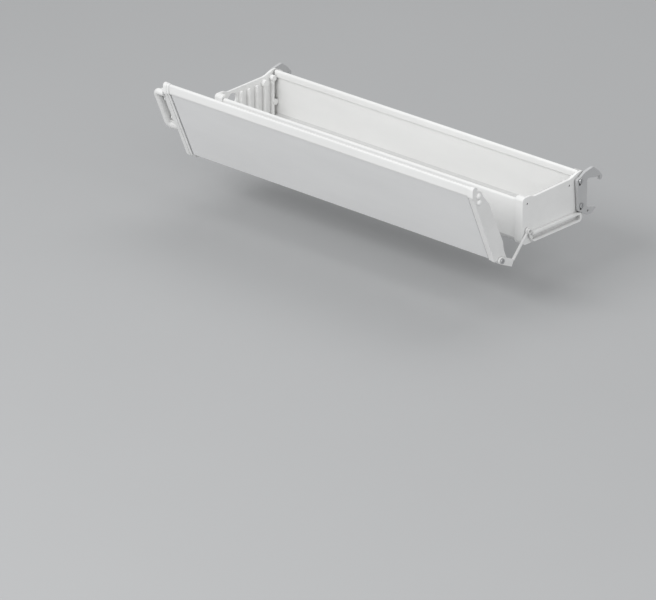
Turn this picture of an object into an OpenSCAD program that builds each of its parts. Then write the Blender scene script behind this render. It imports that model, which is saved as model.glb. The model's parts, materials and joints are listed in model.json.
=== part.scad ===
// Rim-hung filter trough with a swing-over lid, for a glass aquarium.
// Every piece is drawn in the trough's own frame: X along the trough, Y from its front face to the
// back, Z up from the front top corner. hung() then moves the origin to the middle of the glass rim.

/* [Trough] */
// Length over the outer faces of the two end caps
trough_len = 495; // [300:5:900]
// Depth of an end cap from front to back
trough_depth = 108; // [90:1:150]
// Height from the front top corner to the underside
trough_height = 59; // [54:1:80]
// Wall of the extruded channel
wall = 2.5; // [1.5:0.1:3]
// Rise of the caps' back corner above their front corner
back_rise = 4.2; // [2:0.1:6]
// Depth of the front wall below the caps' front corner
front_drop = 3.5; // [2:0.1:5]
// Width of the rounded bead along the front wall
bead_w = 5; // [3.5:0.1:6]
// Height of the rounded lip along the back wall
lip_h = 8.5; // [6:0.1:10]

/* [End caps] */
// Plate of an end cap
cap_plate = 3; // [2:0.1:4]
// Width of the flange that wraps the channel, measured from the outer face
flange_w = 12; // [8:0.5:18]
// Wall of that flange
flange_t = 1.8; // [1.2:0.1:2.5]
// Radius of the lower corners of an end cap
foot_r = 6.5; // [5:0.5:9]
// Radius of the front top corner
top_r = 4.5; // [3:0.5:6]
// Depth of the lid seat behind the raised front corner
seat_dip = 2.6; // [1.5:0.1:4]
// Depth of the lid seat where the S-curve starts
seat_dip_back = 0.9; // [0.4:0.1:1.5]
// Length of the S-curve up to the back wall
rise_len = 22; // [16:1:28]
// Thickness of the seal between channel and end cap
seal_t = 1.5; // [1:0.1:2.5]
// Number of stiffening ribs inside an end cap
rib_count = 5; // [3:1:6]
// Distance from rib to rib
rib_pitch = 13.9; // [10:0.1:14.5]
// Width of a rib
rib_w = 4.6; // [3:0.1:6]
// How far a rib stands off the plate
rib_d = 4.5; // [3:0.1:6]
// Radius of the hose hole in the left end cap
inlet_r = 8; // [5:0.5:9]
// Distance of the hose hole behind the front face
inlet_y = 28; // [24:0.5:32]
// Depth of the hose hole below the front top corner
inlet_drop = 14; // [12:0.5:20]
// Radius of the accessory pilot holes
pilot_r = 1.3; // [1:0.1:1.5]
// Depth of the accessory pilot holes
pilot_depth = 3.5; // [2.5:0.1:3.8]

/* [Grip rail] */
// Height of the hairpin rail on the outer face
rail_h = 11.5; // [10.5:0.5:12]
// Width of its bars
rail_bar = 2.6; // [2:0.1:3]
// Radius of its outer corners
rail_r = 4; // [3:0.5:5]
// How far it stands off the plate
rail_out = 5; // [3:0.5:7]

/* [Outlet] */
// Side of the square outlet in the floor
outlet = 56; // [40:1:64]
// Distance from the outlet to the right end cap
outlet_inset = 26; // [20:1:60]
// Rim of the strainer that rests on the floor
strainer_rim = 4; // [3:0.5:6]
// Thickness of that rim
strainer_t = 1.6; // [1.2:0.1:2.5]
// Width of a strainer slot
slot_w = 3.6; // [2:0.1:5]
// Number of strainer slots
slot_count = 7; // [4:1:8]

/* [Lid] */
// Angle that the lid is swung open in the stored pose
lid_open = 113; // [0:1:113]
// Distance of the closed panel behind the front face
lid_set_back = 10.5; // [9.5:0.5:13]
// Height of the closed panel above the front top corner
lid_rise = 18; // [17:0.5:22]
// Thickness of the panel
panel_t = 3; // [2:0.1:4]
// Depth of the panel's returned front lip
panel_lip = 9; // [7:0.5:9]
// Width of the shadow groove beside a lid end cap's strip
groove_w = 1.6; // [0.8:0.1:2]
// Depth of that groove
groove_d = 1.5; // [0.5:0.1:1.5]
// How far the panel runs past the back of the trough
lid_overhang = 1.3; // [0:0.1:3]
// Length of the edge rail's sloping face
edge_len = 10.5; // [9:0.1:12]
// Thickness of the edge rail
edge_t = 5; // [4.5:0.1:5.5]
// Slope of the edge rail below the closed panel, which makes it upright on the open lid
edge_slope = 23; // [18:1:28]
// Width of the strip that a lid end cap lays over the panel
strip_w = 9; // [7:0.5:12]
// How far that strip stands proud of the panel
strip_proud = 0.8; // [0.5:0.1:1.2]
// How far the strip and its collar step up again towards the end
strip_step = 0.7; // [0.4:0.1:1]
// Plate of a lid end cap
lid_plate = 3; // [2:0.1:4]
// Radius of the domed rivets
rivet_r = 3; // [2:0.1:3.1]

/* [Pivot and arms] */
// Distance of the lid pivot behind the front face
pivot_y = 8; // [7.5:0.1:9]
// Height of the lid pivot above the underside
pivot_up = 17.5; // [17:0.5:22]
// Radius of the pivot pin
pin_r = 1.75; // [1.5:0.05:2]
// Outer radius of the eye on an arm
eye_r = 4; // [3.5:0.1:4.4]
// Thickness of an arm
arm_t = 3; // [2:0.1:4]
// Width of the thin stay
stay_w = 2.4; // [1.8:0.1:3]
// Width of the foot that carries the lid
foot_w = 8.8; // [7.5:0.1:9.5]
// How far the arm's corner stands in front of the trough when the lid is closed
arm_reach = 10.2; // [8:0.1:12]

/* [Pull loop] */
// Length of the loop along the lid's end
loop_len = 64; // [50:0.5:70]
// How far the loop stands off the lid
loop_out = 18.5; // [18:0.5:22]
// Diameter of its round grip bar
grip_d = 8; // [7:0.1:8]
// Height of the bar's middle above the lid's face
grip_rise = 0.7; // [0:0.1:1]
// Thickness of the base between bar and lid
loop_t = 6.5; // [6.4:0.1:7]
// Radius of the loop's upper corner
loop_r = 10; // [7:0.5:11]
// Width of the finger slot
loop_slot = 4.6; // [4.5:0.1:5]
// Width of the base between the finger slot and the lid
loop_base = 5.8; // [4:0.1:5.9]

/* [Rim hooks] */
// Thickness of a hook plate
hook_t = 4; // [3:0.1:6]
// Width of the hook's upright arm
hook_arm = 18.5; // [16:0.5:20]
// Distance from the back of the trough to the middle of the glass
rim_gap = 21.7; // [18:0.1:26]
// Depth of the glass rim below the front top corner
rim_drop = 8.5; // [7.5:0.1:9.5]
// Width of the slot that takes the glass
glass_slot = 6.2; // [5:0.1:8.5]
// Height travel of a hook on its clamp screws
hook_travel = 4; // [2:0.1:4]
// Distance of the clamp screws in front of the trough's back
hook_screw_in = 11; // [10.5:0.1:12]
// Depth of the upper clamp screw below the front top corner
hook_screw_drop = 5; // [5:0.1:7]
// Height of the lower clamp screw above the underside
hook_screw_up = 22.5; // [22:0.5:26]
// Radius of the clamp screws and arm screws
screw_r = 1.6; // [1.3:0.1:1.8]

/* [Clearances] */
// Gap between pieces that are pushed together
fit_gap = 0.2; // [0.1:0.05:0.3]
// Running clearance of a pin or screw in its hole
run_gap = 0.05; // [0.02:0.01:0.1]
// Side gap between the end caps and what swings or slides past them
side_gap = 0.4; // [0.3:0.05:0.6]
// Gap between the closed lid and its seat
lid_gap = 0.5; // [0.4:0.05:0.8]

/* [Hidden] */
left = -1;
right = 1;
$fn = 48;
arc_steps = 6;
over = 1;

// Colours of the mouldings, the clips, the seals and the metal
white = [0.90, 0.90, 0.89];
panel_grey = [0.82, 0.82, 0.82];
clip_grey = [0.66, 0.67, 0.68];
seal_grey = [0.74, 0.74, 0.72];
steel = [0.72, 0.73, 0.74];

// Ends along X
cap_x = trough_len / 2;
channel_x = cap_x - cap_plate - seal_t;
lid_x = cap_x + side_gap;
hook_x = lid_x + side_gap;

// Channel section
channel_front = flange_t + fit_gap;
channel_back = trough_depth - flange_t - fit_gap;
channel_under = -trough_height + flange_t + fit_gap;
channel_r = foot_r - flange_t - fit_gap;
floor_z = channel_under + wall;
front_top = -front_drop;
back_top = back_rise - 0.4;
bead_h = bead_w * 0.9;
inner_back = channel_back - wall;

// Lid seat along the top of an end cap
land_end = top_r + 7.5;
dip_start = land_end + 10;
rise_end = trough_depth - 5;
rise_start = rise_end - rise_len;
back_r = 3;

// Pivot, and the radius that the lid has to clear as it swings over the front top corner
pivot_z = pivot_up - trough_height;
pivot = [pivot_y, pivot_z];
swing_r = norm([top_r, -top_r] - pivot) + top_r + lid_gap;
boss_r = pin_r + 1.6;

// Hook screws, inner bosses, ribs and pilot holes line up from the back of the trough
hook_screw_y = trough_depth - hook_screw_in;
screw_boss_r = screw_r + 2.3;
low_screw_y = inner_back - fit_gap - screw_boss_r;
hook_screws = [[hook_screw_y, -hook_screw_drop], [low_screw_y, hook_screw_up - trough_height]];
screw_boss_d = rib_d + 1;
boss_x = cap_x - cap_plate - screw_boss_d;
blind_x = boss_x + 1.2;
rib_top = -hook_screw_drop - 2;
pilot_z = -8.3;
pilot_boss_r = pilot_r + 2.2;
back_boss_r = pilot_r + 3.4;
front_pilot = [channel_front + wall + pilot_boss_r + fit_gap, pilot_z];
back_pilot = [hook_screw_y - rib_pitch, pilot_z];

// Grip rail on the outer face, and the heel of an arm that stops against the web at its front
rail_z0 = 2.6 - trough_height;
rail_y0 = pivot_y + eye_r + 1;
rail_y1 = hook_screw_y + 3.5;
heel_len = 9.5;
heel_angle = -acos((rail_y0 - lid_gap / 2 - stay_w / 2 - pivot_y) / heel_len);

// Closed lid
bend_y = trough_depth + lid_overhang;
edge_lap = 2;
edge_out = [cos(edge_slope), -sin(edge_slope)];
edge_in = [-sin(edge_slope), -cos(edge_slope)];
skin = 1.2;
panel_x = lid_x - lid_plate - fit_gap;
plate_front = lid_set_back - 11;
plate_back = trough_depth + 2;
foot_at = [lid_set_back - 5, lid_rise - 7];
arm_corner = [-arm_reach, foot_at[1] - 14.8];
end_rivets = [[bend_y - 3.8, lid_rise - 6.7], [bend_y - 11.8, lid_rise - 4.5]];
head_r = 2 * screw_r;
head_t = 1.9;

// Pull loop on the closed lid's left end
grip_r = grip_d / 2;
loop_y1 = bend_y + 2;
loop_y0 = loop_y1 - loop_len;
loop_legs = [loop_y0 + 7, loop_y1 - grip_r - 2];
slot_y0 = loop_legs[0] + grip_r + loop_slot / 2;
slot_y1 = loop_legs[1] - grip_r - loop_slot;
base_top = lid_rise - 0.5;
loop_mid = base_top - loop_t / 2;
grip_z = lid_rise + grip_rise;
loop_rivets = [[slot_y0 + rivet_r, loop_mid], [slot_y1 - rivet_r, loop_mid]];

// Rim hook outline, from the trough's back and the glass
rim_y = trough_depth + rim_gap;
rim_z = -rim_drop;
hook_front = hook_screw_y - 5.5;
hook_back = hook_front + hook_arm;
slot_front = rim_y - glass_slot / 2;
slot_back = rim_y + glass_slot / 2;
lip_back = slot_back + 4.6;
hook_low = hook_screws[1][1] - hook_travel;

// Helpers for points
function blend(a, b, t) = a + (b - a) * (1 - cos(180 * t)) / 2;
function arc(c, r, a0, a1) =
    [for (i = [0 : arc_steps]) let (a = a0 + (a1 - a0) * i / arc_steps) c + r * [cos(a), sin(a)]];
function unit(v) = v / norm(v);
function turned(v, a) = [v[0] * cos(a) - v[1] * sin(a), v[0] * sin(a) + v[1] * cos(a)];
function steps(from, to, n) = [for (i = [0 : n]) from + (to - from) * i / n];

// One corner of an outline as an arc of radius r, or the bare point where r is 0
function corner(a, p, b, r) =
    r == 0 ? [p] :
    let (u = unit(a - p), v = unit(b - p))
    let (half = acos(u * v) / 2, centre = p + unit(u + v) * r / sin(half))
    let (start = p + u * r / tan(half) - centre, way = -sign(cross(u, v)))
    [for (i = [0 : arc_steps]) centre + turned(start, way * (180 - 2 * half) * i / arc_steps)];

// Outline through points [y, z, r], each corner rounded by its own radius
function outline(points) =
    let (n = len(points), flat = [for (p = points) [p[0], p[1]]])
    [for (i = [0 : n - 1]) each corner(flat[(i + n - 1) % n], flat[i], flat[(i + 1) % n], points[i][2])];

function rivets_of(side) = side == left ? loop_rivets : end_rivets;

// Top edge of an end cap: raised front corner, lid seat, S-curve, back land
function cap_top(y) =
    y <= land_end ? 0 :
    y <= dip_start ? blend(0, -seat_dip, (y - land_end) / (dip_start - land_end)) :
    y <= rise_start ? -seat_dip + (seat_dip - seat_dip_back) * (y - dip_start) / (rise_start - dip_start) :
    y <= rise_end ? blend(-seat_dip_back, back_rise, (y - rise_start) / (rise_end - rise_start)) :
    back_rise;

// Lower edge of a closed lid end: it follows the seat, and the front swings clear of the corner
function plate_edge(y) =
    max(cap_top(y) + lid_gap, pivot_z + sqrt(max(0, pow(swing_r, 2) - pow(y - pivot_y, 2))));

// Placing
module hung() {
    translate([0, -rim_y, -rim_z]) children();
}

module swung() {
    hung()
    translate([0, pivot_y, pivot_z])
    rotate([lid_open, 0, 0])
    translate([0, -pivot_y, -pivot_z])
    children();
}

module at_end(side) {
    if (side == left) mirror([1, 0, 0]) children();
    else children();
}

module along_x(x0, x1) {
    translate([x0, 0, 0]) rotate([90, 0, 90]) linear_extrude(x1 - x0) children();
}

module rod(at, r, x0, x1) {
    translate([x0, at[0], at[1]]) rotate([0, 90, 0]) cylinder(r = r, h = x1 - x0);
}

// Flat shapes
module bar_2d(from, to, w) {
    translate(from)
    rotate(atan2(to[1] - from[1], to[0] - from[0]))
    translate([0, -w / 2])
    square([norm(to - from), w]);
}

module obround_2d(from, to, r) {
    bar_2d(from, to, 2 * r);
    translate(from) circle(r);
    translate(to) circle(r);
}

// Box with its two lower corners rounded
module tub_2d(y0, y1, z0, z1, r) {
    translate([y0, z0 + r]) square([y1 - y0, z1 - z0 - r]);
    translate([y0 + r, z0]) square([y1 - y0 - 2 * r, 2 * r]);
    translate([y0 + r, z0 + r]) circle(r);
    translate([y1 - r, z0 + r]) circle(r);
}

// Box with all four corners rounded
module pad_2d(y0, y1, z0, z1, r) {
    translate([y0 + r, z0]) square([y1 - y0 - 2 * r, z1 - z0]);
    translate([y0, z0 + r]) square([y1 - y0, z1 - z0 - 2 * r]);
    for (y = [y0 + r, y1 - r], z = [z0 + r, z1 - r])
        translate([y, z]) circle(r);
}

// Upright strip with a round top
module bead_2d(y0, w, z0, z1) {
    translate([y0, z0]) square([w, z1 - z0 - w / 2]);
    translate([y0 + w / 2, z1 - w / 2]) circle(w / 2);
}

module channel_inside_2d(z1) {
    tub_2d(channel_front + wall, inner_back, floor_z, z1, max(1, channel_r - wall / 2));
}

module channel_2d() {
    difference() {
        tub_2d(channel_front, channel_back, channel_under, front_top - bead_w / 2, channel_r);
        channel_inside_2d(over);
    }
    bead_2d(channel_front, bead_w, front_top - bead_h, front_top);
    translate([inner_back, front_top - bead_w]) square([wall, back_top - front_top]);
    bead_2d(channel_back - bead_w, bead_w, back_top - lip_h, back_top);
}

module cap_2d() {
    ys = concat(steps(land_end, dip_start, arc_steps), steps(rise_start, rise_end, 2 * arc_steps));
    polygon(concat(
        arc([foot_r, foot_r - trough_height], foot_r, 270, 180),
        arc([top_r, -top_r], top_r, 180, 90),
        [for (y = ys) [y, cap_top(y)]],
        arc([trough_depth - back_r, back_rise - back_r], back_r, 90, 0),
        arc([trough_depth - foot_r, foot_r - trough_height], foot_r, 0, -90)));
}

// Hairpin of the grip rail, open towards the front
module rail_2d() {
    difference() {
        pad_2d(rail_y0, rail_y1, rail_z0, rail_z0 + rail_h, rail_r);
        pad_2d(rail_y0 - rail_r, rail_y1 - rail_bar, rail_z0 + rail_bar, rail_z0 + rail_h - rail_bar,
               rail_r - rail_bar);
    }
}

module panel_2d(grow) {
    translate([lid_set_back - grow, lid_rise - panel_t - grow])
        square([bend_y - fit_gap - lid_set_back + 2 * grow, panel_t + 2 * grow]);
    translate([lid_set_back - grow, lid_rise - panel_lip - grow])
        square([panel_t + 2 * grow, panel_lip + 2 * grow]);
}

// Section of the edge rail: a lip over the panel's edge, a sloping face and a round rim
module edge_2d(grow) {
    rim_r = edge_t * 0.46 + grow;
    bend = [bend_y, lid_rise + strip_proud + grow];
    tip = bend + edge_out * (edge_len + grow);
    rim = tip + edge_in * (edge_t + 2 * grow);
    lip_y = bend_y - edge_lap - grow;
    under_z = lid_rise - panel_t - skin - grow;
    polygon(outline([
        [lip_y, bend[1], 0.4],
        [bend[0], bend[1], 1.5],
        [tip[0], tip[1], rim_r],
        [rim[0], rim[1], rim_r],
        [bend_y - 1, under_z, 1],
        [lip_y - edge_lap, under_z, 0.4]]));
}

// End plate of the lid, closed: straight top, lug round the foot screw, mating lower edge
module lid_plate_2d() {
    ys = concat(steps(plate_back - back_r, rise_start, 2 * arc_steps),
                steps(dip_start + 4, plate_front, 2 * arc_steps));
    shoulder = [bend_y, lid_rise] + edge_out * edge_len / 2 + edge_in * edge_t / 2;
    polygon(concat(
        [[lid_set_back, lid_rise], [bend_y, lid_rise], shoulder],
        [[plate_back, plate_edge(plate_back) + back_r]],
        [for (y = ys) [y, plate_edge(y)]],
        [[plate_front, foot_at[1] - foot_w / 2]]));
    translate(foot_at) circle(foot_w / 2);
}

// Strip, lip cover and collar that hold the panel and its edge rail
module lid_strip_2d(grow) {
    translate([lid_set_back - skin, lid_rise - panel_t - skin])
        square([bend_y - lid_set_back, panel_t + skin + strip_proud + grow]);
    translate([lid_set_back - skin, lid_rise - panel_lip - skin])
        square([panel_t + 2 * skin, panel_lip + skin + strip_proud + grow]);
    edge_2d(strip_proud + grow);
}

// Section of the sleeve that takes the panel, the edge rail and the foot screw
module lid_sleeve_2d(grow) {
    difference() {
        union() {
            lid_strip_2d(grow);
            translate(foot_at) circle(foot_w / 2);
        }
        panel_2d(fit_gap);
        edge_2d(fit_gap);
        translate(foot_at) circle(screw_r + run_gap);
    }
}

// Gooseneck arm of the closed lid: eye, stay, corner, foot and the heel that stops the open lid
module arm_2d() {
    foot_dir = unit(arm_corner - foot_at);
    foot_side = [-foot_dir[1], foot_dir[0]];
    knee = arm_corner + foot_side * (foot_w - stay_w) / 2;
    heel_dir = [cos(heel_angle - lid_open), sin(heel_angle - lid_open)];
    difference() {
        union() {
            translate(pivot) circle(eye_r);
            bar_2d(knee, pivot, stay_w);
            translate(foot_at) circle(foot_w / 2);
            bar_2d(foot_at, arm_corner, foot_w);
            obround_2d(pivot, pivot + heel_dir * heel_len, stay_w / 2);
        }
        translate(pivot) circle(pin_r + run_gap);
        translate(foot_at) circle(screw_r + run_gap);
    }
}

// Rim hook: upright arm, claw over the glass, foot that meets the glass lower down
module hook_2d() {
    difference() {
        polygon(outline([
            [hook_front + 3.5, hook_low - 2.3, 2],
            [hook_front, -hook_screw_drop + 2.4, 3],
            [hook_screw_y + 1, -hook_screw_drop + 4.1, 3],
            [hook_back - 4, 3.4, 6],
            [rim_y - 9, 6.2, 5],
            [rim_y + 1, -1.5, 8],
            [lip_back, rim_z - 1, 2],
            [lip_back - 1.6, rim_z - 5.6, 1],
            [slot_back, rim_z - 5.6, 1],
            [slot_back, rim_z, 0],
            [slot_front, rim_z, 1.5],
            [hook_back, rim_z + 3, 3],
            [hook_back, hook_low - 1.4, 4],
            [slot_front - fit_gap, hook_low - 5, 0.8],
            [slot_front - fit_gap, hook_low - 6.6, 0.6],
            [slot_front - 8, hook_low - 11.4, 3],
            [hook_back + 1, hook_low - 11.6, 3]]));
        for (s = hook_screws)
            obround_2d(s, s - [0, hook_travel], screw_r + side_gap);
        translate([hook_back + 2, hook_low - 6.4]) circle(pilot_r);
    }
}

// Pieces of the trough
module trough_channel() {
    color(white)
    hung()
    difference() {
        along_x(-channel_x, channel_x) channel_2d();
        translate([channel_x - outlet_inset - outlet, (trough_depth - outlet) / 2, channel_under - over])
            cube([outlet, outlet, wall + 2 * over]);
    }
}

module end_seal(side) {
    color(seal_grey)
    hung()
    at_end(side)
    along_x(channel_x, channel_x + seal_t)
    difference() {
        tub_2d(channel_front, channel_back, channel_under, front_top - bead_w, channel_r);
        channel_inside_2d(over);
    }
}

// Plate and flange, with a hood at the front corner that covers the end of the channel's bead
module cap_shell() {
    difference() {
        along_x(cap_x - flange_w, cap_x) cap_2d();
        along_x(cap_x - flange_w - over, cap_x - cap_plate)
        difference() {
            tub_2d(flange_t, trough_depth - flange_t, flange_t - trough_height,
                   back_rise + over, foot_r - flange_t);
            translate([0, front_top + fit_gap]) square([channel_front + bead_w, front_drop + over]);
        }
    }
}

// Upright rib with a round front and a round top
module rib(y) {
    root = cap_x - cap_plate;
    foot_z = floor_z + fit_gap;
    intersection() {
        translate([root - rib_d + rib_w / 2, y, foot_z])
        linear_extrude(rib_top - foot_z + over) {
            circle(rib_w / 2);
            translate([0, -rib_w / 2]) square([rib_d - rib_w / 2, rib_w]);
        }
        along_x(root - rib_d - over, root) bead_2d(y - rib_w / 2, rib_w, foot_z, rib_top);
    }
}

module cap_ribs() {
    root = cap_x - cap_plate;
    for (i = [0 : rib_count - 1]) rib(hook_screw_y - i * rib_pitch);
    for (s = hook_screws) rod(s, screw_boss_r, boss_x, cap_x + side_gap);
    rod(back_pilot, back_boss_r, boss_x, root);
    rod(front_pilot, pilot_boss_r, channel_x + fit_gap, root);
    rod(pivot, boss_r, boss_x, root);
}

// Blind holes for the clamp screws, the accessory screws and the pivot pin
module cap_holes() {
    for (s = hook_screws) rod(s, screw_r + run_gap, blind_x, cap_x + over);
    for (p = [front_pilot, back_pilot]) rod(p, pilot_r, cap_x - pilot_depth, cap_x + over);
    rod(pivot, pin_r + run_gap, blind_x, cap_x + over);
}

module end_cap(side) {
    color(white)
    hung()
    at_end(side)
    difference() {
        union() {
            cap_shell();
            cap_ribs();
            along_x(cap_x, cap_x + rail_out) rail_2d();
            along_x(cap_x, cap_x + rail_out / 2)
                translate([rail_y0, rail_z0 + rail_bar / 2]) square([rail_bar, rail_h - rail_bar]);
        }
        cap_holes();
        if (side == left) rod([inlet_y, -inlet_drop], inlet_r, cap_x - cap_plate - over, cap_x + over);
    }
}

module outlet_strainer() {
    side_len = outlet - 2 * fit_gap;
    pitch = side_len / slot_count;
    run = side_len / 2 - strainer_rim;
    centre = [channel_x - outlet_inset - outlet / 2, trough_depth / 2, channel_under];
    color(white)
    hung()
    translate(centre)
    difference() {
        union() {
            translate([-side_len / 2, -side_len / 2, 0]) cube([side_len, side_len, wall + strainer_t]);
            translate([-outlet / 2 - strainer_rim, -outlet / 2 - strainer_rim, wall])
                cube([outlet + 2 * strainer_rim, outlet + 2 * strainer_rim, strainer_t]);
        }
        for (i = [0 : slot_count - 1])
            translate([(i - (slot_count - 1) / 2) * pitch, 0, -over])
            linear_extrude(wall + strainer_t + 2 * over)
            obround_2d([0, -run], [0, run], slot_w / 2);
    }
}

module pivot_pin(side) {
    out = lid_x + arm_t + fit_gap;
    color(white)
    hung()
    at_end(side)
    difference() {
        union() {
            rod(pivot, pin_r, blind_x + fit_gap, out + over);
            rod(pivot, eye_r - 0.8, out, out + head_t);
        }
        rod(pivot, pin_r * 0.65, lid_x, out + head_t);
        rod(pivot, pin_r * 1.15, out + head_t / 3, out + head_t + over);
    }
}

// Pan-head screw along X, head outwards, with a slot across the head
module pan_screw(at, tip, seat) {
    difference() {
        union() {
            rod(at, screw_r, tip, seat + over);
            rod(at, head_r, seat, seat + head_t);
        }
        translate([seat + head_t - 0.8, at[0] - 0.4, at[1] - head_r]) cube([over, 0.8, 2 * head_r]);
    }
}

module hook_clamps(side) {
    color(steel)
    hung()
    at_end(side)
    for (s = hook_screws) pan_screw(s, blind_x + fit_gap, hook_x + hook_t + fit_gap);
}

module rim_hook(side) {
    color(clip_grey)
    hung()
    at_end(side)
    along_x(hook_x, hook_x + hook_t) hook_2d();
}

// Pieces of the lid
module lid_panel() {
    groove_x = lid_x - strip_w - groove_w;
    color(panel_grey)
    swung()
    difference() {
        along_x(-panel_x, panel_x) panel_2d(0);
        for (side = [left, right])
            at_end(side)
            translate([groove_x, lid_set_back - over, lid_rise - groove_d])
            cube([groove_w, bend_y - edge_lap - lid_set_back + over, groove_d + over]);
    }
}

module lid_edge_rail() {
    color(white)
    swung()
    along_x(-panel_x, panel_x)
    difference() {
        edge_2d(0);
        panel_2d(run_gap);
    }
}

module lid_end_cap(side) {
    inner = lid_x - lid_plate;
    step_x = inner - (strip_w - lid_plate) / 3;
    color(white)
    swung()
    at_end(side) {
        along_x(inner, lid_x)
        difference() {
            union() {
                lid_plate_2d();
                lid_strip_2d(strip_step);
            }
            translate(foot_at) circle(screw_r + run_gap);
            for (p = rivets_of(side)) translate(p) circle(rivet_r / 2 + run_gap);
        }
        along_x(step_x, inner) lid_sleeve_2d(strip_step);
        along_x(lid_x - strip_w, step_x) lid_sleeve_2d(0);
    }
}

module lid_arm(side) {
    color(white)
    swung()
    at_end(side)
    along_x(lid_x, lid_x + arm_t) arm_2d();
}

module arm_screw(side) {
    color(steel)
    swung()
    at_end(side)
    pan_screw(foot_at, lid_x - strip_w + 2, lid_x + arm_t);
}

// Half section of a domed rivet: shank below the seat at 0, dome above it
module rivet_2d(shank) {
    dome = rivet_r * 0.75;
    ball_r = (pow(rivet_r, 2) + pow(dome, 2)) / (2 * dome);
    translate([0, -shank]) square([rivet_r / 2, shank]);
    intersection() {
        translate([0, dome - ball_r]) circle(ball_r);
        square([rivet_r, dome]);
    }
}

// Domed rivets through a lid end plate, at the left end through the base of the pull loop too
module lid_rivets(side) {
    grip = side == left ? loop_base : 0;
    color(white)
    swung()
    at_end(side)
    for (p = rivets_of(side))
        translate([lid_x + grip, p[0], p[1]])
        rotate([0, 90, 0])
        rotate_extrude()
        rivet_2d(lid_plate + grip - fit_gap);
}

// Plan of the finger loop along the lid's left end: base, slot and outer bar
module loop_2d() {
    slot_x = lid_x + loop_base + loop_slot / 2;
    difference() {
        polygon(outline([
            [lid_x, loop_legs[0] - grip_r, 0],
            [lid_x, loop_y1 - 1, 0],
            [lid_x + loop_out, loop_y1, loop_r],
            [lid_x + loop_out, loop_y0, grip_r],
            [lid_x + loop_out - grip_d, loop_y0, grip_r / 2]]));
        obround_2d([slot_x, slot_y0], [slot_x, slot_y1], loop_slot / 2);
    }
}

// Section across the loop: flat base and the round grip bar
module loop_section_2d() {
    translate([lid_x, base_top - loop_t]) square([loop_out - grip_r, loop_t]);
    translate([lid_x + loop_out - grip_r, grip_z]) circle(grip_r);
}

// The loop's plan, with that section along it and round ends
module loop_body() {
    low = base_top - loop_t;
    high = grip_z + grip_r;
    intersection() {
        translate([0, 0, low - over]) linear_extrude(high - low + 2 * over) loop_2d();
        along_x(lid_x - over, lid_x + loop_out + over) pad_2d(loop_y0, loop_y1, low, high, grip_r);
        translate([0, loop_y1 + over, 0])
            rotate([90, 0, 0])
            linear_extrude(loop_len + 2 * over)
            loop_section_2d();
    }
}

module pull_loop() {
    color(white)
    swung()
    at_end(left)
    difference() {
        union() {
            loop_body();
            for (y = loop_legs) rod([y, grip_z], grip_r - 0.4, lid_x, lid_x + loop_out - grip_r);
        }
        for (p = loop_rivets) rod(p, rivet_r / 2 + run_gap, lid_x - over, lid_x + loop_base + over);
    }
}

trough_channel();
end_cap(left);  // end_cap_left
end_cap(right);  // end_cap_right
end_seal(left);  // end_seal_left
end_seal(right);  // end_seal_right
outlet_strainer();
pivot_pin(left);  // pivot_pin_left
pivot_pin(right);  // pivot_pin_right
hook_clamps(left);  // hook_screws_left
hook_clamps(right);  // hook_screws_right
rim_hook(left);  // rim_hook_left
rim_hook(right);  // rim_hook_right
lid_panel();
lid_edge_rail();
lid_end_cap(left);  // lid_end_cap_left
lid_end_cap(right);  // lid_end_cap_right
lid_arm(left);  // lid_arm_left
lid_arm(right);  // lid_arm_right
arm_screw(left);  // arm_screw_left
arm_screw(right);  // arm_screw_right
lid_rivets(left);  // lid_rivets_left
lid_rivets(right);  // lid_rivets_right
pull_loop();
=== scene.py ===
"""Looks of the rim-hung filter trough: softened edges, a flowing pull loop, materials and a studio."""

import json
import math

import bpy
from mathutils import Matrix, Vector


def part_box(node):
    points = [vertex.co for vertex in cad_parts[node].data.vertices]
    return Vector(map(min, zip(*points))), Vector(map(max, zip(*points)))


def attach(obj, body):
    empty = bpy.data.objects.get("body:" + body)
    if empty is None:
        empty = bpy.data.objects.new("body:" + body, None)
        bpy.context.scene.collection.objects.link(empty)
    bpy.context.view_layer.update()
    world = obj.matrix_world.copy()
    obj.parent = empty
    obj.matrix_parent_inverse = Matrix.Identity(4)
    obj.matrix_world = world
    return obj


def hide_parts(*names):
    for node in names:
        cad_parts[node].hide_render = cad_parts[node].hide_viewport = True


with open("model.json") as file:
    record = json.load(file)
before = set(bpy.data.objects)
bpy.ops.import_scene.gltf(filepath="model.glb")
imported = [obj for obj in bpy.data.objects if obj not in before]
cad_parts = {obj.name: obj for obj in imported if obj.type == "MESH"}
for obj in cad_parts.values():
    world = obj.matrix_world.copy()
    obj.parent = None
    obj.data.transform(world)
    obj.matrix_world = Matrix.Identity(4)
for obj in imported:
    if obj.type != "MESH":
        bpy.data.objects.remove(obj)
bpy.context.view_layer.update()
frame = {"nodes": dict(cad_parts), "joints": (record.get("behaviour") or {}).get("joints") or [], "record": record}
nodes = frame["nodes"]
scene = bpy.context.scene

MM = 0.001


def kind(name):
    """A node's name without its side."""
    return name.removesuffix("_left").removesuffix("_right")


# Softened edges

# The widest rounding of each kind, which very short edges hold back on the trough's and the lid's end caps
EDGE_WIDTH = {
    "trough_channel": 0.35 * MM,
    "end_cap": 0.45 * MM,
    "outlet_strainer": 0.25 * MM,
    "rim_hook": 0.35 * MM,
    "lid_panel": 0.35 * MM,
    "lid_edge_rail": 0.3 * MM,
    "lid_end_cap": 0.4 * MM,
    "lid_arm": 0.45 * MM,
}
SMALL_EDGE = 0.15 * MM
EDGE_ANGLE = math.radians(28)
EDGE_SEGMENTS = 2
# On these nothing folds when the short edges don't hold it back
UNCLAMPED = ("rim_hook", "outlet_strainer")
SAME_POINT = 0.01 * MM
SLIVER = 0.002 * MM
FLAT_ANGLE = math.radians(0.4)
FACE_WEIGHT = 80
RIVET_SWELL = 0.7 * MM


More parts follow.
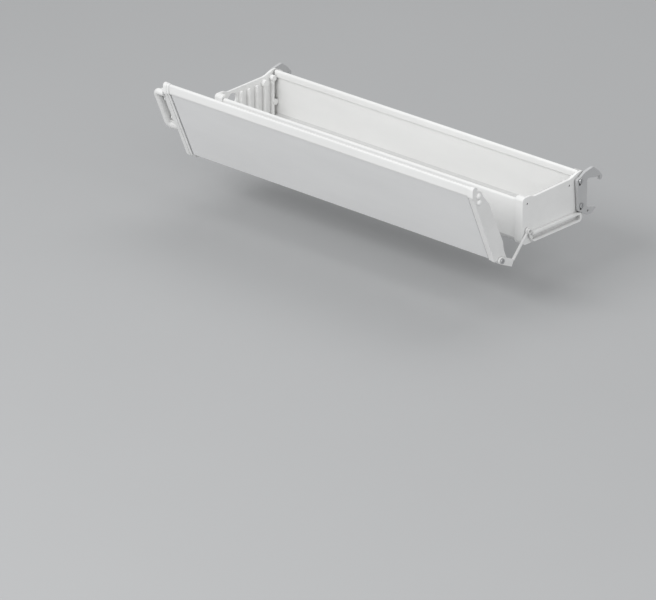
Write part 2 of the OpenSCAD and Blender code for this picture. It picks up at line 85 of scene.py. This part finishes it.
def soften(obj, width, clamp):
    """Merge the triangles of each flat face, round the sharp edges and shade the rest smooth."""
    for poly in obj.data.polygons:
        poly.use_smooth = True
    weld = obj.modifiers.new("weld", "WELD")
    weld.merge_threshold = SAME_POINT
    flat = obj.modifiers.new("flat_faces", "DECIMATE")
    flat.decimate_type = "DISSOLVE"
    flat.angle_limit = FLAT_ANGLE
    edge = obj.modifiers.new("soft_edges", "BEVEL")
    edge.width = width
    edge.segments = EDGE_SEGMENTS
    edge.limit_method = "ANGLE"
    edge.angle_limit = EDGE_ANGLE
    edge.use_clamp_overlap = clamp
    edge.miter_outer = "MITER_ARC"
    slivers = obj.modifiers.new("no_slivers", "WELD")
    slivers.merge_threshold = SLIVER
    even = obj.modifiers.new("even_normals", "WEIGHTED_NORMAL")
    even.keep_sharp = True
    even.weight = FACE_WEIGHT


def swell(obj, by):
    """Grow a small piece evenly on all sides."""
    grow = obj.modifiers.new("swell", "DISPLACE")
    grow.direction = "NORMAL"
    grow.mid_level = 0
    grow.strength = by


for name, obj in nodes.items():
    if name != "pull_loop":
        soften(obj, EDGE_WIDTH.get(kind(name), SMALL_EDGE), kind(name) not in UNCLAMPED)
    if kind(name) == "lid_rivets":
        swell(obj, RIVET_SWELL)

# Pull loop with flowing bends

# At rest the lid stands open by its whole swing, and these are its own axes
lid_swing = next(joint for joint in frame["joints"] if joint["name"] == "lid_swing")
LID_OPEN = math.radians(max(lid_swing["range_deg"]))
OFF_END = Vector((-1, 0, 0))
ALONG = Vector((0, math.cos(LID_OPEN), math.sin(LID_OPEN)))
OUT = Vector((0, -math.sin(LID_OPEN), math.cos(LID_OPEN)))

GRIP_R = 4.1 * MM
BASE_THICKNESS = 6.5 * MM
UPPER_BEND_R = 6.0 * MM
LOWER_BEND_R = 7.0 * MM
LEG_FROM_TOP = 4.7 * MM
LEG_FROM_BOTTOM = 2.4 * MM
LEG_SINK = 0.5 * MM
# The lower leg drops towards the lid, and grows wider and flatter on its way
LEG_DROP = 4.0 * MM
DROP_IN_BEND = 0.7
LEG_SPREAD = 1.5 * MM
LEG_THINNING = 0.7 * MM
SLOT_WIDTH = 4.6 * MM
SLOT_FROM_LID = 5.7 * MM
SLOT_FROM_TOP = 12.3 * MM
SLOT_FROM_BOTTOM = 10.5 * MM
BAR_SIDES = 28
BEND_STEPS = 10
VOXEL = 0.35 * MM
FLOW_FACTOR = 0.5
FLOW_PASSES = 26


class LoopMesh:
    """A closed bar and a slotted plate, whose points are given off the end, along and out of the lid."""

    def __init__(self):
        self.points = []
        self.faces = []

    def band(self, first, second, count):
        """Faces between two rings of as many points."""
        for i in range(count):
            j = (i + 1) % count
            self.faces.append((first + i, first + j, second + j, second + i))

    def bar(self, path, sections):
        """A bar along the path, of elliptic sections with that half width and half height."""
        rings = []
        for k, (here, (width, height)) in enumerate(zip(path, sections)):
            ahead = path[min(k + 1, len(path) - 1)] - path[max(k - 1, 0)]
            across = ahead.cross(Vector((0, 0, 1))).normalized()
            up = across.cross(ahead).normalized()
            rings.append(len(self.points))
            for i in range(BAR_SIDES):
                turn = 2 * math.pi * i / BAR_SIDES
                self.points.append(here + width * math.cos(turn) * across + height * math.sin(turn) * up)
        for first, second in zip(rings, rings[1:]):
            self.band(first, second, BAR_SIDES)
        self.faces.append(tuple(range(rings[0] + BAR_SIDES - 1, rings[0] - 1, -1)))
        self.faces.append(tuple(range(rings[-1], rings[-1] + BAR_SIDES)))

    def plate(self, outline, slot_off, slot_ends, slot_r, low, high):
        """A plate of that outline, with a round-ended slot through it."""
        hole = []
        for off, along in outline:
            centre = Vector((slot_off, min(max(along, slot_ends[0]), slot_ends[1])))
            hole.append(centre + (Vector((off, along)) - centre).normalized() * slot_r)
        start = len(self.points)
        count = len(outline)
        rings = ((outline, low), (outline, high), (hole, high), (hole, low))
        for ring, height in rings:
            self.points.extend(Vector((*at, height)) for at in ring)
        for k in range(len(rings)):
            following = (k + 1) % len(rings)
            self.band(start + k * count, start + following * count, count)


def reach(obj, axis):
    """Where a piece begins and ends along an axis."""
    places = [v.co.dot(axis) for v in obj.data.vertices]
    return min(places), max(places)


def bend(centre, radius, start, end, out):
    """An arc about a centre, whose place out of the lid depends on the share of it that is done."""
    points = []
    for k in range(BEND_STEPS + 1):
        turn = start + (end - start) * k / BEND_STEPS
        off = centre[0] + radius * math.cos(turn)
        along = centre[1] + radius * math.sin(turn)
        points.append(Vector((off, along, out(k / BEND_STEPS))))
    return points


def pull_loop(solid):
    """The loop's bar bends round into its legs, and bar, legs and base flow into each other."""
    near, far = reach(solid, OFF_END)
    bottom, top = reach(solid, ALONG)
    inner, outer = reach(solid, OUT)
    grip_off = far - GRIP_R
    grip_out = outer - GRIP_R
    upper_leg = top - LEG_FROM_TOP
    lower_leg = bottom + LEG_FROM_BOTTOM
    quarter = math.pi / 2

    upper = [Vector((near + LEG_SINK, upper_leg, grip_out))]
    upper += bend((grip_off - UPPER_BEND_R, upper_leg - UPPER_BEND_R), UPPER_BEND_R, quarter, 0,
                  lambda done: grip_out)
    lower = bend((grip_off - LOWER_BEND_R, lower_leg + LOWER_BEND_R), LOWER_BEND_R, 0, -quarter,
                 lambda done: grip_out - DROP_IN_BEND * LEG_DROP * done * done)
    lower.append(Vector((near + LEG_SINK, lower_leg, grip_out - LEG_DROP)))
    sections = [(GRIP_R, GRIP_R)] * len(upper)
    last = len(lower) - 1
    for k in range(len(lower)):
        sections.append((GRIP_R + LEG_SPREAD * k / last, GRIP_R - LEG_THINNING * k / last))

    slot_r = SLOT_WIDTH / 2
    slot_ends = (bottom + SLOT_FROM_BOTTOM + slot_r, top - SLOT_FROM_TOP - slot_r)
    outline = [(at.x, at.y) for at in upper[1:] + lower[:-1]]
    outline += [(near, along) for along in (lower_leg, *slot_ends, upper_leg)]

    mesh = LoopMesh()
    mesh.bar(upper + lower, sections)
    mesh.plate(outline, near + SLOT_FROM_LID + slot_r, slot_ends, slot_r, inner, inner + BASE_THICKNESS)

    data = bpy.data.meshes.new("pull_loop_flowing")
    data.from_pydata([OFF_END * p.x + ALONG * p.y + OUT * p.z for p in mesh.points], [], mesh.faces)
    obj = bpy.data.objects.new("pull_loop_flowing", data)
    scene.collection.objects.link(obj)
    even = obj.modifiers.new("even_mesh", "REMESH")
    even.mode = "VOXEL"
    even.voxel_size = VOXEL
    even.use_smooth_shade = True
    flow = obj.modifiers.new("flow", "SMOOTH")
    flow.factor = FLOW_FACTOR
    flow.iterations = FLOW_PASSES
    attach(obj, "lid")
    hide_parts("pull_loop")
    return obj


loop = pull_loop(nodes["pull_loop"])

# Materials

# Painted shade on the trough's floor: grey up to a height above the channel's underside
FLOOR_SHADE_HEIGHT = 5.0 * MM
FLOOR_SHADE_FADE = 0.5 * MM
FLOOR_SHADE_DEPTH = 0.24
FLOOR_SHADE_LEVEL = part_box("trough_channel")[0].z + FLOOR_SHADE_HEIGHT

# Shares of the noise and of the open sky above a point, between which looks change; the crease shares set where
# the painted shade in hollows fades out
NOISE_RAMP = (0.35, 0.65)
NOISE_SPAN = (0.3, 0.7)
CREASE_SHADE_SPAN = (0.25, 0.65)
CREASE_SHADE_REACH = 7 * MM
CREASE_SHADE_SAMPLES = 8


class Shader:
    """A principled material with helpers that add texture nodes in object space."""

    def __init__(self, name):
        self.mat = bpy.data.materials.new(name)
        self.mat.use_nodes = True
        self.tree = self.mat.node_tree
        self.bsdf = self.tree.nodes["Principled BSDF"]
        self.coord = self.node("TexCoord")

    def set(self, node, **values):
        for key, value in values.items():
            node.inputs[key.replace("_", " ")].default_value = value

    def node(self, kind_of_node, **values):
        made = self.tree.nodes.new("ShaderNode" + kind_of_node)
        self.set(made, **values)
        return made

    def link(self, output, socket):
        self.tree.links.new(output, socket)

    def noise(self, scale, detail, stretch=(1, 1, 1), roughness=0.55):
        mapping = self.node("Mapping", Scale=stretch)
        self.link(self.coord.outputs["Object"], mapping.inputs["Vector"])
        made = self.node("TexNoise", Scale=scale, Detail=detail, Roughness=roughness)
        self.link(mapping.outputs["Vector"], made.inputs["Vector"])
        return made.outputs["Fac"]

    def ramp(self, value, low, high, between=NOISE_RAMP):
        """A colour from low to high, as the value goes between two shares."""
        made = self.node("ValToRGB")
        first, last = made.color_ramp.elements
        first.position, last.position = between
        first.color = (*low, 1)
        last.color = (*high, 1)
        self.link(value, made.inputs["Fac"])
        return made.outputs["Color"]

    def span(self, value, low, high, between=NOISE_SPAN):
        """A number from low to high, as the value goes between two others."""
        start, end = between
        made = self.node("MapRange", From_Min=start, From_Max=end, To_Min=low, To_Max=high)
        self.link(value, made.inputs["Value"])
        return made.outputs["Result"]

    def scaled(self, colour, by):
        made = self.node("VectorMath")
        made.operation = "SCALE"
        self.link(colour, made.inputs[0])
        self.link(by, made.inputs["Scale"])
        return made.outputs["Vector"]

    def bump(self, height, strength, distance, under=None):
        made = self.node("Bump", Strength=strength, Distance=distance)
        self.link(height, made.inputs["Height"])
        if under is not None:
            self.link(under, made.inputs["Normal"])
        return made.outputs["Normal"]

    def painted_crease_shade(self, colour, depth):
        """Paint shade into the colour where less open sky reaches a point, in crease and recess corners."""
        sky = self.node("AmbientOcclusion", Distance=CREASE_SHADE_REACH)
        sky.samples = CREASE_SHADE_SAMPLES
        return self.scaled(colour, self.span(sky.outputs["AO"], 1 - depth, 1, CREASE_SHADE_SPAN))

    def painted_floor_shade(self, colour, level, depth):
        """Paint shade into the colour of what lies below a level, where the trough's floor lies in shade."""
        axes = self.node("SeparateXYZ")
        self.link(self.coord.outputs["Object"], axes.inputs["Vector"])
        fade = (level - FLOOR_SHADE_FADE, level + FLOOR_SHADE_FADE)
        return self.scaled(colour, self.span(axes.outputs["Z"], 1 - depth, 1, fade))

    def finish(self, colour, roughness, normal):
        self.link(colour, self.bsdf.inputs["Base Color"])
        self.link(roughness, self.bsdf.inputs["Roughness"])
        self.link(normal, self.bsdf.inputs["Normal"])
        return self.mat


def moulded(name, low, high, rough):
    """Injection-moulded plastic: faint cloudiness, satin roughness and a fine spark-eroded grain."""
    shader = Shader(name)
    shader.set(shader.bsdf, IOR=1.46, Coat_Weight=0.12, Coat_Roughness=0.18)
    cloud = shader.noise(scale=38, detail=4)
    grain = shader.noise(scale=2600, detail=2)
    # The base colour carries painted shade in crease and recess corners.
    colour = shader.painted_crease_shade(shader.ramp(cloud, low, high), depth=0.4)
    waves = shader.bump(cloud, strength=0.12, distance=0.6 * MM)
    normal = shader.bump(grain, strength=0.18, distance=0.03 * MM, under=waves)
    return shader.finish(colour, shader.span(grain, *rough), normal)


def extruded(name, low, high, rough, floor_shade_level=None):
    """Extruded plastic: drawing lines along X, with a faint long waviness."""
    shader = Shader(name)
    shader.set(shader.bsdf, IOR=1.46, Coat_Weight=0.1, Coat_Roughness=0.2)
    lines = shader.noise(scale=900, detail=3, stretch=(0.004, 1, 1))
    cloud = shader.noise(scale=24, detail=3, stretch=(0.25, 1, 1))
    # The base colour carries painted shade in crease and recess corners.
    colour = shader.painted_crease_shade(shader.ramp(cloud, low, high), depth=0.22)
    # On the channel, painted shade greys the floor of the trough.
    if floor_shade_level is not None:
        colour = shader.painted_floor_shade(colour, floor_shade_level, FLOOR_SHADE_DEPTH)
    waves = shader.bump(cloud, strength=0.1, distance=0.8 * MM)
    normal = shader.bump(lines, strength=0.12, distance=0.04 * MM, under=waves)
    return shader.finish(colour, shader.span(lines, *rough), normal)


def metal(name, low, high, rough):
    """Turned stainless steel with fine tool marks."""
    shader = Shader(name)
    shader.set(shader.bsdf, Metallic=1)
    marks = shader.noise(scale=2200, detail=4, stretch=(0.2, 1, 1))
    normal = shader.bump(marks, strength=0.15, distance=0.02 * MM)
    return shader.finish(shader.ramp(marks, low, high), shader.span(marks, *rough), normal)


def rubber(name, low, high, rough):
    """Pale rubber with a dull grain."""
    shader = Shader(name)
    shader.set(shader.bsdf, IOR=1.5)
    grain = shader.noise(scale=1800, detail=4)
    normal = shader.bump(grain, strength=0.3, distance=0.05 * MM)
    return shader.finish(shader.ramp(grain, low, high), shader.span(grain, *rough), normal)


WHITE = moulded("white_plastic", (0.780, 0.780, 0.772), (0.815, 0.815, 0.808), (0.34, 0.44))
CAP = moulded("cap_plastic", (0.825, 0.825, 0.817), (0.860, 0.860, 0.852), (0.34, 0.44))
# The rivets' lighter white is a painted highlight: a lit copy of the white plastic.
RIVET_PAINTED_HIGHLIGHT = moulded("rivet_plastic_painted_highlight", (0.880, 0.880, 0.872), (0.905, 0.905, 0.898), (0.30, 0.38))
GREY = moulded("grey_plastic", (0.490, 0.494, 0.498), (0.525, 0.529, 0.533), (0.36, 0.48))
CHANNEL = extruded("channel_plastic", (0.835, 0.835, 0.826), (0.870, 0.870, 0.861), (0.33, 0.42),
                   FLOOR_SHADE_LEVEL)
RAIL = extruded("rail_plastic", (0.775, 0.775, 0.766), (0.810, 0.810, 0.802), (0.33, 0.42))
PANEL = extruded("panel_plastic", (0.730, 0.732, 0.732), (0.758, 0.760, 0.760), (0.36, 0.46))
SEAL = rubber("seal_rubber", (0.640, 0.640, 0.620), (0.690, 0.690, 0.670), (0.62, 0.78))
STEEL = metal("stainless", (0.560, 0.565, 0.570), (0.680, 0.685, 0.690), (0.22, 0.36))

BY_SLOT = {
    "white_plastic": WHITE,
    "panel_plastic": PANEL,
    "grey_plastic": GREY,
    "seal_rubber": SEAL,
    "stainless": STEEL,
}
# These differ a little from the rest of their slot, as in the photo
BY_KIND = {
    "trough_channel": CHANNEL,
    "end_cap": CAP,
    "lid_edge_rail": RAIL,
    # The rivets get the lit copy of the white plastic, a painted highlight.
    "lid_rivets": RIVET_PAINTED_HIGHLIGHT,
}

for part in frame["record"]["subparts"]:
    name = part["node"]
    obj = nodes[name]
    obj.data.materials.clear()
    obj.data.materials.append(BY_KIND.get(kind(name), BY_SLOT[part["material_slot"]]))
loop.data.materials.append(WHITE)

# Camera of the photo, from the fit of the tank's box

CAMERA_AT = Vector((3.83653, -4.32427, 2.28035))
CAMERA_AZIMUTH = math.radians(42.889)
CAMERA_ELEVATION = math.radians(23.502)
CAMERA_ROLL = math.radians(-0.055)
FOCAL_PX = 5163.03
PHOTO_WIDTH_PX = 656
SENSOR_MM = 36
CLIP_NEAR = 0.1
CLIP_FAR = 60

cam_data = bpy.data.cameras.new("camera")
cam_data.sensor_fit = "HORIZONTAL"
cam_data.sensor_width = SENSOR_MM
cam_data.lens = FOCAL_PX / PHOTO_WIDTH_PX * SENSOR_MM
cam_data.clip_start = CLIP_NEAR
cam_data.clip_end = CLIP_FAR
camera = bpy.data.objects.new("camera", cam_data)
scene.collection.objects.link(camera)
heading = Matrix.Rotation(CAMERA_AZIMUTH, 4, "Z")
tilt = Matrix.Rotation(math.pi / 2 - CAMERA_ELEVATION, 4, "X")
roll = Matrix.Rotation(CAMERA_ROLL, 4, "Z")
camera.matrix_world = Matrix.Translation(CAMERA_AT) @ heading @ tilt @ roll
scene.camera = camera

# Studio

FLOOR_Z = -0.125
FLOOR_HALF = 9.0
PALE = (0.430, 0.434, 0.438)
PALE_VARIES = 0.01
SKY = (0.92, 0.93, 0.94)
SKY_STRENGTH = 0.6
AIM = Vector((0, -0.1, 0))


def floor_material():
    """A dull pale floor, with hardly any variation."""
    shader = Shader("floor_pale")
    shader.set(shader.bsdf, Roughness=0.9, Specular_IOR_Level=0.1)
    darker = [c * (1 - PALE_VARIES) for c in PALE]
    lighter = [c * (1 + PALE_VARIES) for c in PALE]
    cloud = shader.noise(scale=6, detail=2, roughness=0.5)
    shader.link(shader.ramp(cloud, darker, lighter, (0, 1)), shader.bsdf.inputs["Base Color"])
    return shader.mat


def pale_floor():
    """A wide level square below the part."""
    data = bpy.data.meshes.new("floor")
    corners = [(-1, -1), (1, -1), (1, 1), (-1, 1)]
    data.from_pydata([(x * FLOOR_HALF, y * FLOOR_HALF, FLOOR_Z) for x, y in corners], [], [(0, 1, 2, 3)])
    data.materials.append(floor_material())
    obj = bpy.data.objects.new("floor", data)
    scene.collection.objects.link(obj)
    return obj


def area_light(name, at, size, watts):
    """A soft rectangular lamp that points at the part."""
    data = bpy.data.lights.new(name, "AREA")
    data.shape = "RECTANGLE"
    data.size, data.size_y = size
    data.energy = watts
    lamp = bpy.data.objects.new(name, data)
    lamp.location = at
    lamp.rotation_mode = "QUATERNION"
    lamp.rotation_quaternion = (AIM - Vector(at)).to_track_quat("-Z", "Y")
    scene.collection.objects.link(lamp)


def studio_world():
    """A soft sky lights the part, while the camera and reflections see the floor's pale colour."""
    world = bpy.data.worlds.new("studio")
    world.use_nodes = True
    tree = world.node_tree
    sky = tree.nodes["Background"]
    sky.inputs["Color"].default_value = (*SKY, 1)
    sky.inputs["Strength"].default_value = SKY_STRENGTH
    shown = tree.nodes.new("ShaderNodeBackground")
    shown.inputs["Color"].default_value = (*PALE, 1)
    shown.inputs["Strength"].default_value = 1
    rays = tree.nodes.new("ShaderNodeLightPath")
    seen = rays.outputs["Is Camera Ray"]
    for ray in ("Is Glossy Ray", "Is Transmission Ray"):
        either = tree.nodes.new("ShaderNodeMath")
        either.operation = "MAXIMUM"
        tree.links.new(seen, either.inputs[0])
        tree.links.new(rays.outputs[ray], either.inputs[1])
        seen = either.outputs["Value"]
    mix = tree.nodes.new("ShaderNodeMixShader")
    tree.links.new(seen, mix.inputs["Fac"])
    tree.links.new(sky.outputs["Background"], mix.inputs[1])
    tree.links.new(shown.outputs["Background"], mix.inputs[2])
    tree.links.new(mix.outputs["Shader"], tree.nodes["World Output"].inputs["Surface"])
    return world


floor = pale_floor()
area_light("top_soft", at=(-0.5, 1.2, 2.0), size=(2.4, 1.4), watts=14)
area_light("high_front_soft", at=(-0.3, -2.15, 1.6), size=(2.0, 0.8), watts=30)
area_light("low_front_soft", at=(-0.6, -2.6, 0.4), size=(2.2, 1.0), watts=6.5)
area_light("right_soft", at=(2.1, -0.9, 1.4), size=(1.4, 1.2), watts=13)
scene.world = studio_world()
scene.view_settings.view_transform = "Standard"
